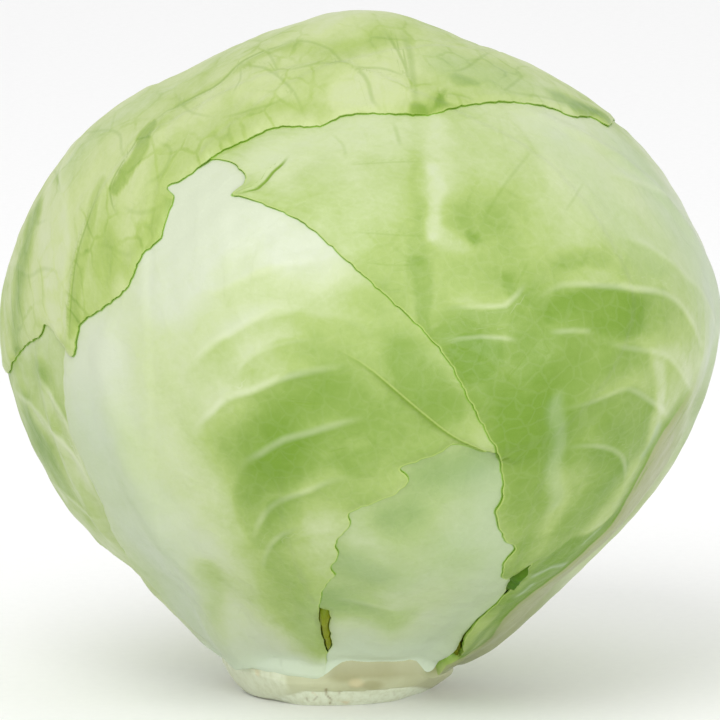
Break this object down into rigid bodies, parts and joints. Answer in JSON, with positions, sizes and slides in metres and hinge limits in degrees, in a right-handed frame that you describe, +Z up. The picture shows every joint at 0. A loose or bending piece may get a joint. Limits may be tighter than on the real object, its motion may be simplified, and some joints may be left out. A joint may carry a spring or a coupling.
{
  "type": "green cabbage",
  "caption": "Whole green cabbage: a dense round head wrapped in overlapping ribbed leaves, standing upright on its flat cut stem.",
  "frame": {"origin": "middle of the stem's flat cut face, which the cabbage stands on", "axes": "+Z up from the cut face to the top of the head, +X to the right and -Y to the front of the pictured side"},
  "size_m": [0.1807, 0.1717, 0.1711],
  "materials": {
    "stem_flesh": "moist cut vegetable flesh",
    "inner_leaves": "smooth leaf",
    "pale_leaf": "waxy leaf, pale ribs",
    "green_leaf": "waxy leaf",
    "cap_leaf": "waxy leaf, netted veins"
  },
  "bodies": {
    "root": {"stem": "stem_flesh", "inner_head": "inner_leaves", "leaf_front_inner": "pale_leaf", "leaf_back_left": "green_leaf", "leaf_far_left": "green_leaf", "leaf_left": "pale_leaf", "leaf_right": "green_leaf", "leaf_cap": "cap_leaf"}
  },
  "joints": []
}
